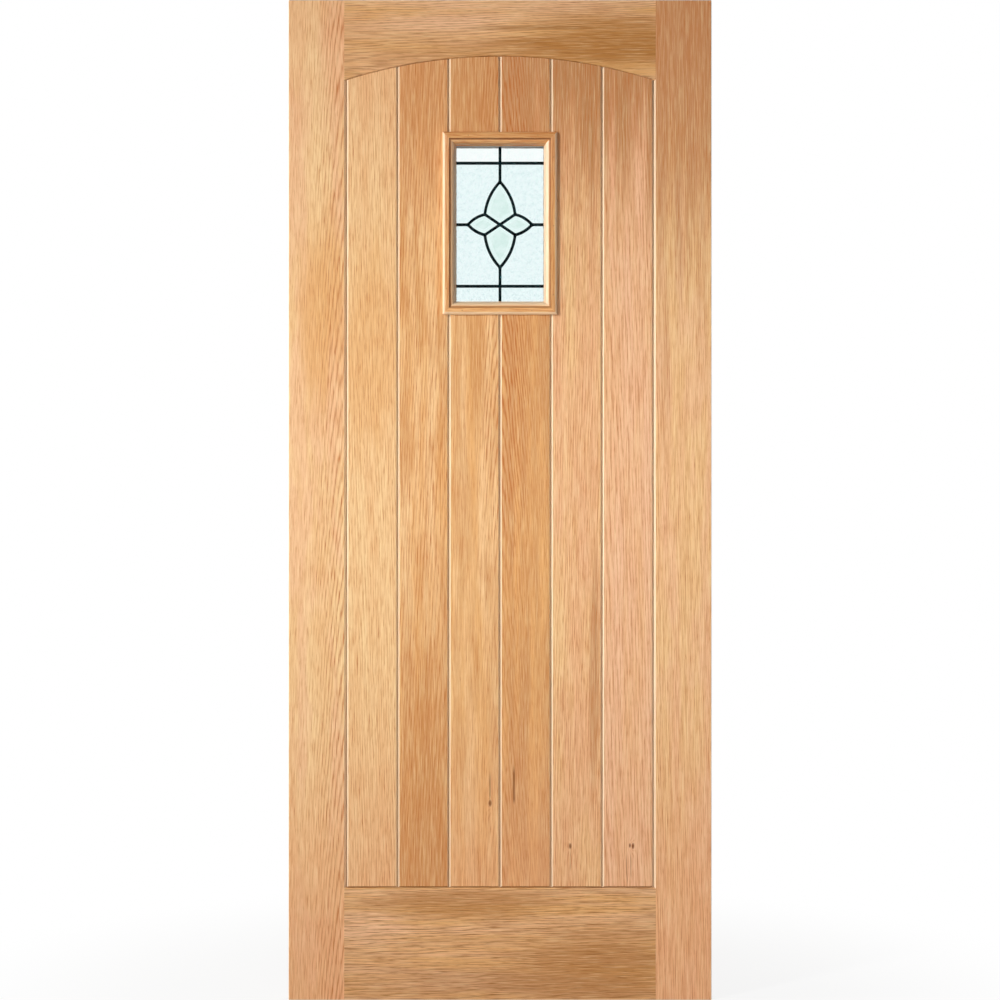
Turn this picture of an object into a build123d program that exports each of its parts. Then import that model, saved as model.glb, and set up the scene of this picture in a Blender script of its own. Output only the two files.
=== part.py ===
from build123d import *
import math
import os

# The door leaf stands on its bottom edge, centred on the origin, with its front towards -Y.
# All sizes are in millimetres.

# Leaf: its overall size, and the small arris planed on its outer edges
leaf_width = 838.0
leaf_height = 1981.0
leaf_thickness = 44.0
leaf_arris = 1.0

# Framing: two full-height stiles, an arched top rail and a deep bottom rail
stile_width = 115.0
stile_chamfer = 4.5
bottom_rail_height = 223.0
crown_depth = 112.0
arch_radius = 1010.0
rail_chamfer = 2.5

# Dowels that pin the rails to the stiles
dowel_diameter = 16.0
dowel_length = 130.0
dowel_side_play = 0.1
dowel_end_play = 2.0
top_dowel_count = 2
top_dowel_inset = 40.0
top_dowel_pitch = 65.0
bottom_dowel_count = 3
bottom_dowel_inset = 40.0
bottom_dowel_pitch = 70.0

# Boarding: one skin of tongued, grooved and V-jointed boards on each face
board_count = 6
board_thickness = 14.0
board_chamfer = 3.5
tongue_thickness = 4.0
tongue_reach = 6.0
tongue_setback = 3.5
tongue_play = 0.2

# Core: the insulating panel between the skins, housed in grooves round the framing
housing_depth = 12.0
housing_end_play = 0.5
housing_side_play = 0.15

# Window: two boards wide and a little into their neighbours, hung at a set drop below the leaf's
# top, with the height of glass that shows and the trimmers that line the opening
window_boards = 2
window_notch = 1.5
window_drop = 442.5
sight_height = 308.0
trimmer_width = 40.0

# Glazing moulding: a mitred frame on each face that laps on to the boards and holds the glass
nose_radius = 6.5
top_flat = 6.5
quirk_width = 2.0
quirk_depth = 3.2
ovolo_radius = 9.0
lip_run = 3.0
moulding_flange = 11.0
moulding_projection = 9.0
moulding_play = 0.5

# Pins: flat-sided wire brads through the mouldings into the trimmers, punched below the surface
pin_width = 1.6
pin_gauge = 1.4
pin_setback = 2.0
pin_grip = 6.5
pin_inset = 8.0
pin_end_inset = 45.0
pin_stagger = 12.0
side_pin_count = 3
head_pin_count = 2

# Sealed unit: two plain panes with a leaded light between them
unit_thickness = 24.0
unit_clearance = 3.0
pane_thickness = 4.0
seal_width = 4.0
spacer_width = 8.0
tape_thickness = 1.5
tape_width = 8.0
tape_inset = 1.0
block_length = 30.0
block_corner_inset = 30.0

# Leaded light: H-section lead cames, soldered where they meet, round twelve pieces of glass
came_width = 4.8
came_flange = 0.8
came_heart = 1.2
solder_width = 6.8
solder_rise = 0.4
solder_sides = 8
light_thickness = 3.0
light_play = 0.1
star_height = 85.0
star_reach = 63.5
petal_node_x = 30.0
petal_node_z = 20.3
tall_petal_bulge = 6.0
side_petal_bulge = 3.2
band_height = 122.5
bevel_width = 7.5
bevel_rise = 1.8

# Places that follow from the sizes above
front_face = -leaf_thickness / 2
field_width = leaf_width - 2 * stile_width
rail_face_length = field_width + 2 * stile_chamfer
arch_middle = leaf_height - crown_depth - arch_radius
core_thickness = leaf_thickness - 2 * board_thickness
housing_width = core_thickness + 2 * housing_side_play
core_reach = housing_depth - housing_end_play
board_width = field_width / board_count
moulding_width = nose_radius + top_flat + quirk_width + ovolo_radius + lip_run
glass_cover = moulding_width - moulding_flange
aperture_width = window_boards * board_width + 2 * window_notch
aperture_height = sight_height + 2 * glass_cover
sight_width = aperture_width - 2 * glass_cover
window_middle = leaf_height - window_drop
unit_width = aperture_width - 2 * unit_clearance
unit_height = aperture_height - 2 * unit_clearance
glass_front = -unit_thickness / 2
moulding_seat = glass_front - tape_thickness - front_face
pin_length = moulding_projection - pin_setback + board_thickness + pin_grip
cavity_depth = unit_thickness - 2 * pane_thickness
came_channel = light_thickness + 2 * light_play
came_depth = came_channel + 2 * came_flange
spacer_depth = (cavity_depth - came_depth) / 2
panel_width = unit_width - 2 * seal_width
panel_height = unit_height - 2 * seal_width
window_place = Pos(0, 0, window_middle)


def arch_line(x, grow=0.0):
    """Height of the arch at a distance x from its middle, or of the arch grown by some amount."""
    return arch_middle + math.sqrt((arch_radius + grow) ** 2 - x**2)


def upright(sketch, y_start, depth):
    """A flat shape drawn in front view, given depth from y_start towards the back."""
    return Pos(0, y_start, 0) * extrude(Plane.XZ * sketch, amount=-depth)


def ring(outer_width, outer_height, band):
    """A rectangular frame in front view, centred on the window."""
    return Rectangle(outer_width, outer_height) - Rectangle(outer_width - 2 * band, outer_height - 2 * band)


def on_face(piece, face):
    """A piece made for the front face, or its mirror image on the back."""
    return piece if face == "front" else mirror(piece, about=Plane.XZ)


def leaf_envelope():
    """The whole leaf as one block with its arrises, which trims the framing."""
    block = Pos(0, 0, leaf_height / 2) * Box(leaf_width, leaf_thickness, leaf_height)
    return chamfer(block.edges(), leaf_arris)


def aperture():
    """The opening for the sealed unit, right through the leaf."""
    return window_place * Box(aperture_width, 2 * leaf_thickness, aperture_height)


def dowel_places(count, first, pitch):
    """Middles of the dowels on both shoulders of a rail, first and pitch measured along Z."""
    shoulders = (-field_width / 2, field_width / 2)
    return [Pos(x, 0, first + i * pitch) for x in shoulders for i in range(count)]


def top_dowel_places():
    return dowel_places(top_dowel_count, leaf_height - top_dowel_inset, -top_dowel_pitch)


def bottom_dowel_places():
    return dowel_places(bottom_dowel_count, bottom_dowel_inset, bottom_dowel_pitch)


def dowel():
    """One dowel along X."""
    return Rot(0, 90, 0) * Cylinder(dowel_diameter / 2, dowel_length)


def dowel_bores():
    """The bores for all dowels, a little wider and longer than the dowels themselves."""
    bore = Rot(0, 90, 0) * Cylinder(dowel_diameter / 2 + dowel_side_play, dowel_length + 2 * dowel_end_play)
    return [place * bore for place in top_dowel_places() + bottom_dowel_places()]


def stile_blank():
    """The left-hand stile before it is grooved and bored, with chamfers along its inner edge."""
    section = Pos(-(leaf_width - stile_width) / 2, 0) * Rectangle(stile_width, leaf_thickness)
    inner_corners = section.vertices().sort_by(Axis.X)[-2:]
    return extrude(chamfer(inner_corners, stile_chamfer), amount=leaf_height)


def stile_housing():
    """The groove for the core along both stiles, stopped behind the rails."""
    low = bottom_rail_height - housing_depth
    high = arch_line(field_width / 2, housing_depth)
    groove = Box(field_width + 2 * housing_depth, housing_width, high - low)
    return Pos(0, 0, (low + high) / 2) * groove


def stile():
    """The left-hand stile."""
    return (stile_blank() & leaf_envelope()) - stile_housing() - dowel_bores()


def scribed(rail):
    """A rail cut to length between the stiles, its shoulders scribed over their chamfers."""
    left = stile_blank()
    right = mirror(left, about=Plane.YZ)
    return (rail & leaf_envelope()) - left - right - dowel_bores()


def bottom_rail():
    blank = Pos(0, 0, bottom_rail_height / 2) * Box(rail_face_length, leaf_thickness, bottom_rail_height)
    top_edges = blank.edges().filter_by(Axis.X).group_by(Axis.Z)[-1]
    rail = chamfer(top_edges, rail_chamfer)
    groove = Pos(0, 0, bottom_rail_height) * Box(2 * leaf_width, housing_width, 2 * housing_depth)
    return scribed(rail - groove)


def top_rail():
    arch_height = leaf_height - arch_middle
    blank = Pos(0, leaf_height - arch_height / 2) * Rectangle(rail_face_length, arch_height)
    shape = blank - Pos(0, arch_middle) * Circle(arch_radius)
    rail = upright(shape, front_face, leaf_thickness)
    rail = chamfer(rail.edges().filter_by(GeomType.CIRCLE), rail_chamfer)
    groove = Pos(0, arch_middle) * Circle(arch_radius + housing_depth)
    return scribed(rail - upright(groove, -housing_width / 2, housing_width))


def arched_field(grow):
    """The boarded field in front view, grown on every side by the given amount."""
    width = field_width + 2 * grow
    low = bottom_rail_height - grow
    block = Pos(0, (low + leaf_height) / 2) * Rectangle(width, leaf_height - low)
    return block & Pos(0, arch_middle) * Circle(arch_radius + grow)


def board_skin():
    """The front boarding as one slab: arched top, chamfered foot and the opening for the window."""
    slab = upright(arched_field(0), front_face, board_thickness)
    foot = slab.edges().filter_by(Axis.X).group_by(Axis.Z)[0].sort_by(Axis.Y)[0]
    return chamfer(foot, rail_chamfer) - aperture()


def edge_joint(index, side):
    """Whether a board's edge, on side -1 or 1, has a tongue, a groove or neither.

    The tongues point to the middle, where one board is grooved on both edges.
    """
    if index + side not in range(board_count):
        return "plain"
    middle = board_count // 2
    towards_middle = (middle - index) * side > 0
    return "tongue" if towards_middle else "groove"


def board_section(index):
    """Plan section of a front board: chamfered face, with a tongue or a groove on its edges."""
    middle = (index + 0.5) * board_width - field_width / 2
    section = Rectangle(board_width, board_thickness)
    section = chamfer(section.vertices().sort_by(Axis.Y)[:2], board_chamfer)
    tongue_y = (board_thickness - tongue_thickness) / 2 - tongue_setback
    groove_depth = tongue_reach + tongue_play
    for side in (-1, 1):
        joint = edge_joint(index, side)
        if joint == "tongue":
            place = Pos(side * (board_width + tongue_reach) / 2, tongue_y)
            section += place * Rectangle(tongue_reach, tongue_thickness)
        elif joint == "groove":
            place = Pos(side * (board_width - groove_depth) / 2, tongue_y)
            section -= place * Rectangle(groove_depth, tongue_thickness + 2 * tongue_play)
    return Pos(middle, front_face + board_thickness / 2) * section


def boards(face):
    """The boards of one face by name. The window divides the middle ones into two pieces each."""
    skin = board_skin()
    bores = pins("front") + pins("back")
    named = {}
    for index in range(board_count):
        board = on_face(extrude(board_section(index), amount=leaf_height) & skin, face) - bores
        pieces = board.solids().sort_by(Axis.Z)
        endings = [""] if len(pieces) == 1 else ["_lower", "_upper"]
        for piece, ending in zip(pieces, endings):
            named[f"{face}_board_{index + 1}{ending}"] = piece
    return named


def core_panel():
    """The insulating panel, housed in the framing and cut out round the trimmers."""
    panel = upright(arched_field(core_reach), -core_thickness / 2, core_thickness)
    opening = Box(aperture_width + 2 * trimmer_width, core_thickness, aperture_height + 2 * trimmer_width)
    return panel - window_place * opening


def trimmers():
    """Four lengths that line the opening between the skins: head and sill run over the sides."""
    bores = pins("front") + pins("back")
    long = Box(aperture_width + 2 * trimmer_width, core_thickness, trimmer_width)
    short = Box(trimmer_width, core_thickness, aperture_height)
    rise = (aperture_height + trimmer_width) / 2
    reach = (aperture_width + trimmer_width) / 2
    places = {
        "head_trimmer": Pos(0, 0, rise) * long,
        "sill_trimmer": Pos(0, 0, -rise) * long,
        "left_trimmer": Pos(-reach, 0, 0) * short,
        "right_trimmer": Pos(reach, 0, 0) * short,
    }
    return {name: window_place * piece - bores for name, piece in places.items()}


def moulding_section():
    """Section of the moulding: x from the edge of the glass outwards, y out of the leaf's face."""
    ovolo_top = moulding_projection - quirk_depth
    ovolo_end = lip_run + ovolo_radius
    flat_start = ovolo_end + quirk_width
    flat_end = flat_start + top_flat
    tongue_side = glass_cover - moulding_play
    nose_foot = moulding_projection - nose_radius
    outline = [
        Line((0, -moulding_seat), (lip_run, ovolo_top - ovolo_radius)),
        RadiusArc((lip_run, ovolo_top - ovolo_radius), (ovolo_end, ovolo_top), ovolo_radius),
        Line((ovolo_end, ovolo_top), (flat_start, ovolo_top)),
        Line((flat_start, ovolo_top), (flat_start, moulding_projection)),
        Line((flat_start, moulding_projection), (flat_end, moulding_projection)),
        RadiusArc((flat_end, moulding_projection), (moulding_width, nose_foot), nose_radius),
        Line((moulding_width, nose_foot), (moulding_width, 0)),
        Line((moulding_width, 0), (tongue_side, 0)),
        Line((tongue_side, 0), (tongue_side, -moulding_seat)),
        Line((tongue_side, -moulding_seat), (0, -moulding_seat)),
    ]
    return make_face(Curve() + outline)


def window_sides():
    """Each side of the window: its name, length of glass, distance from the middle and turn."""
    return [
        ("head", sight_width, sight_height / 2, 0),
        ("right", sight_height, sight_width / 2, 90),
        ("sill", sight_width, sight_height / 2, 180),
        ("left", sight_height, sight_width / 2, 270),
    ]


def moulding_length(length, distance, turn):
    """One mitred length on the front face, made over the window's middle and turned to its side."""
    plane = Plane(origin=(0, front_face, distance), x_dir=(0, 0, 1), z_dir=(1, 0, 0))
    half_outer = length / 2 + moulding_width
    bar = extrude(plane * moulding_section(), amount=half_outer, both=True)
    corners = [
        (-length / 2, distance),
        (length / 2, distance),
        (half_outer, distance + moulding_width),
        (-half_outer, distance + moulding_width),
    ]
    mitres = upright(make_face(Polyline(*corners, close=True)), -leaf_thickness, leaf_thickness)
    return window_place * Rot(0, turn, 0) * (bar & mitres)


def mouldings(face):
    """The four mouldings of one face by name, bored for their pins."""
    bores = pins(face)
    named = {}
    for name, length, distance, turn in window_sides():
        piece = on_face(moulding_length(length, distance, turn), face)
        named[f"{face}_{name}_moulding"] = piece - bores
    return named


def pins(face):
    """The pins of one face, spaced along each moulding and staggered against the other face's."""
    shift = pin_stagger / 2 if face == "front" else -pin_stagger / 2
    start = front_face - moulding_projection + pin_setback
    pin = Box(pin_width, pin_length, pin_gauge)
    placed = []
    for name, length, distance, turn in window_sides():
        count = side_pin_count if name in ("left", "right") else head_pin_count
        span = length + 2 * moulding_width - 2 * pin_end_inset
        for i in range(count):
            along = -span / 2 + i * span / (count - 1) + shift
            spot = Pos(along, start + pin_length / 2, distance + moulding_width - pin_inset)
            placed.append(on_face(window_place * Rot(0, turn, 0) * spot * pin, face))
    return placed


def unit_layer(sketch, y_start, depth):
    """A layer of the sealed unit, drawn about the window's middle."""
    return window_place * upright(sketch, y_start, depth)


def glazing():
    """Panes, seal, spacers, tapes and blocks of the sealed unit."""
    pane = unit_layer(Rectangle(unit_width, unit_height), glass_front, pane_thickness)
    seal = ring(unit_width, unit_height, seal_width)
    spacer = ring(panel_width, panel_height, spacer_width)
    spacer = unit_layer(spacer, glass_front + pane_thickness, spacer_depth)
    tape = ring(unit_width - 2 * tape_inset, unit_height - 2 * tape_inset, tape_width)
    tape = unit_layer(tape, glass_front - tape_thickness, tape_thickness)
    return {
        "outer_pane": pane,
        "inner_pane": on_face(pane, "back"),
        "unit_edge_seal": unit_layer(seal, glass_front + pane_thickness, cavity_depth),
        "outer_spacer": spacer,
        "inner_spacer": on_face(spacer, "back"),
        "front_glazing_tape": tape,
        "back_glazing_tape": on_face(tape, "back"),
        "setting_blocks": setting_blocks(),
    }


def setting_blocks():
    """Two blocks in the gap on each side of the unit, near its corners."""
    flat = Box(block_length, unit_thickness, unit_clearance)
    tall = Box(unit_clearance, unit_thickness, block_length)
    flat_reach = unit_width / 2 - block_corner_inset - block_length / 2
    tall_reach = unit_height / 2 - block_corner_inset - block_length / 2
    rise = (unit_height + unit_clearance) / 2
    reach = (unit_width + unit_clearance) / 2
    blocks = [Pos(sx * flat_reach, 0, sz * rise) * flat for sx in (-1, 1) for sz in (-1, 1)]
    blocks += [Pos(sx * reach, 0, sz * tall_reach) * tall for sx in (-1, 1) for sz in (-1, 1)]
    return Compound(children=[window_place * block for block in blocks])


def came_lines():
    """Middle lines of the cames, about the window's middle: bands, crosses and a four-petal star."""
    half_width = panel_width / 2
    half_height = panel_height / 2
    lines = []
    for sz in (-1, 1):
        lines.append(Line((-half_width, sz * band_height), (half_width, sz * band_height)))
        lines.append(Line((0, sz * star_height), (0, sz * half_height)))
        lines.append(Line((-petal_node_x, sz * petal_node_z), (petal_node_x, -sz * petal_node_z)))
    for sx in (-1, 1):
        lines.append(Line((sx * star_reach, 0), (sx * half_width, 0)))
        for sz in (-1, 1):
            node = (sx * petal_node_x, sz * petal_node_z)
            lines.append(SagittaArc((0, sz * star_height), node, sx * sz * tall_petal_bulge))
            lines.append(SagittaArc(node, (sx * star_reach, 0), sx * sz * side_petal_bulge))
    return lines


def came_nodes():
    """Where cames meet: the points of the star, its crossing, and the bands over the uprights."""
    nodes = [(0, 0)]
    for s in (-1, 1):
        nodes += [(0, s * star_height), (s * star_reach, 0), (0, s * band_height)]
        nodes += [(petal_node_x, s * petal_node_z), (-petal_node_x, s * petal_node_z)]
    return nodes


def came_pattern(width, border):
    """The cames in front view at one width, with a border band and round ends at the meetings."""
    pattern = ring(panel_width, panel_height, border)
    for line in came_lines():
        pattern += trace(line, width)
    for node in came_nodes():
        pattern += Pos(*node) * Circle(width / 2)
    return pattern & Rectangle(panel_width, panel_height)


def lead_cames():
    """The soldered net of cames: front and back flanges joined by the heart, with solder joints."""
    flange = came_pattern(came_width, spacer_width)
    heart = came_pattern(came_heart, came_heart)
    net = upright(flange, -came_depth / 2, came_flange) + upright(heart, -came_depth / 2, came_depth)
    net += upright(flange, came_channel / 2, came_flange)
    blob = RegularPolygon(solder_width / 2, solder_sides)
    joints = Sketch() + [Pos(*node) * blob for node in came_nodes()]
    net += upright(joints, -came_depth / 2 - solder_rise, came_flange + solder_rise)
    net += upright(joints, came_channel / 2, came_flange + solder_rise)
    return window_place * net


def light_cells():
    """The outlines left between the cames' hearts, with the play that each piece of glass needs."""
    gap = came_heart + 2 * light_play
    cells = Rectangle(panel_width, panel_height) - came_pattern(gap, came_heart + light_play)
    return cells.faces()


def light_names():
    """Each piece of glass by name, with a point near its middle."""
    far = panel_width / 4
    field = band_height / 2
    band = (band_height + panel_height / 2) / 2
    names = {}
    for sx, side in ((-1, "left"), (1, "right")):
        names[f"bevel_{side}"] = (sx * star_reach / 2, 0)
        for sz, level in ((-1, "lower"), (1, "upper")):
            names[f"{level}_{side}_field_light"] = (sx * far, sz * field)
            names[f"{level}_{side}_border_light"] = (sx * far, sz * band)
    names["bevel_top"] = (0, star_height / 2)
    names["bevel_bottom"] = (0, -star_height / 2)
    return names


def bevelled_light(cell):
    """A petal of thicker glass: its edge sits in the came and its face rises in bevels."""
    cover = (came_width - came_heart) / 2 - light_play
    in_sight = offset(cell, -cover, kind=Kind.INTERSECTION)
    block = upright(in_sight, -light_thickness / 2 - bevel_rise, light_thickness + bevel_rise)
    table = block.faces().sort_by(Axis.Y)[0]
    bevelled = chamfer(table.edges(), bevel_width, bevel_rise, reference=table)
    return upright(cell, -light_thickness / 2, light_thickness) + bevelled


def lights():
    """The twelve pieces of glass in the cames."""
    cells = light_cells()
    pieces = {}
    for name, point in light_names().items():
        target = Vector(point[0], point[1], 0)
        cell = min(cells, key=lambda face: (face.center() - target).length)
        if name.startswith("bevel"):
            piece = bevelled_light(cell)
        else:
            piece = upright(cell, -light_thickness / 2, light_thickness)
        pieces[name] = window_place * piece
    return pieces


def door():
    """Every piece of the leaf, by node name."""
    left_stile = stile()
    pieces = {
        "hinge_stile": left_stile,
        "lock_stile": mirror(left_stile, about=Plane.YZ),
        "top_rail": top_rail(),
        "bottom_rail": bottom_rail(),
        "top_rail_dowels": Compound(children=[place * dowel() for place in top_dowel_places()]),
        "bottom_rail_dowels": Compound(children=[place * dowel() for place in bottom_dowel_places()]),
        "core_panel": core_panel(),
    }
    for face in ("front", "back"):
        pieces.update(boards(face))
        pieces.update(mouldings(face))
        pieces[f"{face}_moulding_pins"] = Compound(children=pins(face))
    pieces["lead_cames"] = lead_cames()
    pieces.update(trimmers())
    pieces.update(glazing())
    pieces.update(lights())
    return pieces


os.makedirs("parts", exist_ok=True)
for node, solid in door().items():
    export_step(solid, f"parts/{node}.step")
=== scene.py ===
# %% [markdown]
# # An arched, boarded oak door leaf with a leaded light
#
# The construction is already there: stiles, rails, boards, mouldings and the sealed glass unit come
# in as a fixed frame of named parts. This notebook gives every part its finish, models the small
# pieces that are better drawn as meshes, and sets up a plain studio round the door.
#
# The frame is in metres, with +Z up, the front of the door towards -Y and its bottom edge on Z = 0.

# %% Load the frame
import math

import bmesh
import bpy
from mathutils import Matrix, Vector


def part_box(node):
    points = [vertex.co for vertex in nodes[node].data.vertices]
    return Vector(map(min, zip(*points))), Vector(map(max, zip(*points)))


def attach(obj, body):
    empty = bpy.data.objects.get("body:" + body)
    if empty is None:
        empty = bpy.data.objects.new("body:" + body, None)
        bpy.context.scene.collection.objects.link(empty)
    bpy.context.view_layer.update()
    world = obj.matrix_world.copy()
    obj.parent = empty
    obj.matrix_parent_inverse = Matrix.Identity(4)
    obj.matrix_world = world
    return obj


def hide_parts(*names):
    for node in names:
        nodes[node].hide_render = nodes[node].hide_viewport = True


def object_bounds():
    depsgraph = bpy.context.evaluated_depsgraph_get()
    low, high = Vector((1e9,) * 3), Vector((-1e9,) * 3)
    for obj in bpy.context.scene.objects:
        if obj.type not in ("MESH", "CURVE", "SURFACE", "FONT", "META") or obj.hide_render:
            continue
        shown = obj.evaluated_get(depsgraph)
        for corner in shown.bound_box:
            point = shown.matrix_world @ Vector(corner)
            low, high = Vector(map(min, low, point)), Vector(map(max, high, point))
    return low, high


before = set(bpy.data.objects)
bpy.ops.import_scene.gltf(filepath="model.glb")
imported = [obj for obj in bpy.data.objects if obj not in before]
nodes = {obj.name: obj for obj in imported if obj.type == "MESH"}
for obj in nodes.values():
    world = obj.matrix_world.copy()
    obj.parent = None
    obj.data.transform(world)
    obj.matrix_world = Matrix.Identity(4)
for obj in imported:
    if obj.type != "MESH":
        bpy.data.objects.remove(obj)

cad_box = [list(corner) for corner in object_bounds()]
leaf_size = [high - low for low, high in zip(*cad_box)]
print("parts:", len(nodes), "leaf:", [round(side, 4) for side in leaf_size])

# %% [markdown]
# ## Sums in a material
#
# A pattern in a material is a sum over places on the surface. Blender adds one node for each step
# of such a sum, which is slow to write and hard to read. The class below wraps the output of a
# node, so that Python's own `+`, `-`, `*`, `/` and `**` add the Math nodes. `1 - mask` works too.

# %% A number in a material
class Value:
    """One number that changes over a surface. Arithmetic on it adds Math nodes."""

    def __init__(self, paint, socket):
        self.paint = paint
        self.socket = socket

    def math(self, operation, *terms):
        """One Math node that takes the terms in their order."""
        return self.paint.node("ShaderNodeMath", {"operation": operation}, dict(enumerate(terms)))

    def __add__(self, other):
        return self.math("ADD", self, other)

    def __radd__(self, other):
        return self.math("ADD", other, self)

    def __sub__(self, other):
        return self.math("SUBTRACT", self, other)

    def __rsub__(self, other):
        return self.math("SUBTRACT", other, self)

    def __mul__(self, other):
        return self.math("MULTIPLY", self, other)

    def __rmul__(self, other):
        return self.math("MULTIPLY", other, self)

    def __truediv__(self, other):
        return self.math("DIVIDE", self, other)

    def __rtruediv__(self, other):
        return self.math("DIVIDE", other, self)

    def __pow__(self, other):
        return self.math("POWER", self, other)

    def __abs__(self):
        return self.math("ABSOLUTE", self)

    def largest(self, other):
        """The larger of two values at each place."""
        return self.math("MAXIMUM", self, other)

    def wave(self):
        """A smooth swing from 0 to 1 and back for each whole number that the value passes."""
        return 0.5 - 0.5 * self.math("COSINE", self * math.tau)

    def ramp(self, low, high):
        """0 below low, 1 above high and a smooth rise between them."""
        settings = {"interpolation_type": "SMOOTHSTEP"}
        return self.paint.node("ShaderNodeMapRange", settings, {0: self, 1: low, 2: high})


print("a value also knows:", [name for name in vars(Value) if not name.startswith("_")])

# %% [markdown]
# ## All nodes from one method
#
# Any other node comes from one method, which takes the kind of node, its settings and what goes
# into its sockets: a plain number or another value. Sockets are named where a node has only one of
# that name, and numbered where it has more. The world has a tree of nodes as a material has, so
# the method is in a class that serves both.

# %% A tree of nodes
SEEN_RAYS = ("Is Camera Ray", "Is Glossy Ray", "Is Transmission Ray")


class Tree:
    """The nodes of a material or of the world."""

    def __init__(self, holder):
        holder.use_nodes = True
        self.nodes = holder.node_tree.nodes
        self.links = holder.node_tree.links

    def node(self, kind, settings=None, inputs=None, output=0):
        """A new node with its settings and sockets filled in, as the value of one output."""
        made = self.nodes.new(kind)
        for setting, value in (settings or {}).items():
            setattr(made, setting, value)
        for socket, value in (inputs or {}).items():
            self.feed(made.inputs[socket], value)
        return Value(self, made.outputs[output])

    def feed(self, socket, value):
        """Links a value to a socket, or writes a plain number or colour on it."""
        if isinstance(value, Value):
            self.links.new(value.socket, socket)
        else:
            socket.default_value = value

    def seen(self, in_gloss=1.0):
        """1 for what the camera sees itself or through glass, and a share of it in a gloss."""
        camera, gloss, glass = [self.node("ShaderNodeLightPath", output=ray) for ray in SEEN_RAYS]
        return camera.largest(in_gloss * gloss).largest(glass)


print("kinds of ray told apart:", len(SEEN_RAYS))

# %% [markdown]
# ## Tones and paints
#
# Each material of the door ends in the Principled shader. A part of the frame keeps its mesh, so
# its pattern reads Object coordinates, which need no unwrapping and run on through a part that the
# window cuts in two. A Mapping node lays the pattern along the middle line of the part, upright or
# level. A paint card writes a colour in numbers up to 255 that suit the eye, while a shader counts
# light, so a short function turns one into the other.

# %% A tone and a paint
MIX_FACTOR, MIX_FIRST, MIX_SECOND, MIX_RESULT = 0, 6, 7, 2   # a Mix node's sockets for colours
SEED_STEP = (3.7, 1.3, 5.1)  # how far apart two seeds lie


def tone(red, green, blue):
    """A colour as a paint card gives it, 0 to 255, in the linear numbers that a shader wants."""
    parts = [channel / 255 for channel in (red, green, blue)]
    return [c / 12.92 if c < 0.04045 else ((c + 0.055) / 1.055) ** 2.4 for c in parts] + [1.0]


class Paint(Tree):
    """A material whose pattern reads the part's own coordinates, in millimetres."""

    def __init__(self, name, centre=(0, 0, 0), lying=False, **finish):
        self.material = bpy.data.materials.new(name)
        super().__init__(self.material)
        self.shader = self.nodes["Principled BSDF"]
        self.lying = lying
        self.place = self.coordinates(centre)
        self.x, self.y, self.z = self.split(self.place)
        for socket, value in finish.items():
            self.set(socket.replace("_", " ").title().replace("Ior", "IOR"), value)

    def set(self, socket, value):
        """Sets a socket of the shader to a number, a colour or a value."""
        self.feed(self.shader.inputs[socket], value)

    def coordinates(self, centre):
        """Millimetres from the centre, with Z along the grain: a lying part is turned upright."""
        found = self.node("ShaderNodeTexCoord", output="Object")
        turn = (0, math.pi / 2, 0) if self.lying else (0, 0, 0)
        x, y, z = (1000 * c for c in centre)
        shift = (-z, -y, x) if self.lying else (-x, -y, -z)
        inputs = {"Vector": found, "Location": shift, "Rotation": turn, "Scale": (1000, 1000, 1000)}
        return self.node("ShaderNodeMapping", None, inputs)

    def split(self, vector):
        """The X, Y and Z parts of a vector as three values."""
        parts = self.node("ShaderNodeSeparateXYZ", None, {"Vector": vector})
        return [Value(self, socket) for socket in parts.socket.node.outputs]

    def facing(self):
        """The three parts of the direction that the surface faces."""
        return self.split(self.node("ShaderNodeTexCoord", output="Normal"))

    def noise(self, across, along, seed, detail=2.0, roughness=0.5):
        """Noise with features of one size across the grain and another along it, 0 to 1."""
        scale = (1 / across, 1 / across, 1 / along)
        offset = tuple(seed * step for step in SEED_STEP)
        settings = {"operation": "MULTIPLY_ADD"}
        place = self.node("ShaderNodeVectorMath", settings, {0: self.place, 1: scale, 2: offset})
        inputs = {"Vector": place, "Scale": 1.0, "Detail": detail, "Roughness": roughness}
        return self.node("ShaderNodeTexNoise", None, inputs)

    def mix(self, factor, first, second):
        """A colour between two others. A factor below 0 or above 1 counts as 0 or 1."""
        settings = {"data_type": "RGBA", "clamp_factor": True}
        inputs = {MIX_FACTOR: factor, MIX_FIRST: first, MIX_SECOND: second}
        return self.node("ShaderNodeMix", settings, inputs, MIX_RESULT)

    def relief(self, height, depth, strength=1.0):
        """Bumps of the given depth in metres, where height runs from 0 to 1."""
        inputs = {"Strength": strength, "Distance": depth, "Height": height}
        self.set("Normal", self.node("ShaderNodeBump", None, inputs))


def paint_part(part, paint):
    """Puts a finish on a part of the frame or on a new piece."""
    if not part.material_slots:
        part.data.materials.append(paint.material)
    for material_slot in part.material_slots:
        material_slot.material = paint.material


print("mid grey in linear numbers:", [round(part, 3) for part in tone(128, 128, 128)])

# %% [markdown]
# ## Oak: tones
#
# The door is bare oak under a clear finish, and its lengths come from several trees, so they run
# from pale straw to a red brown. The tones below are written as on a paint card, and were changed
# from render to render until the lengths looked right beside one another. Every length mixes two or
# three of them, and a few of the darker ones draw its lines.

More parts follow.
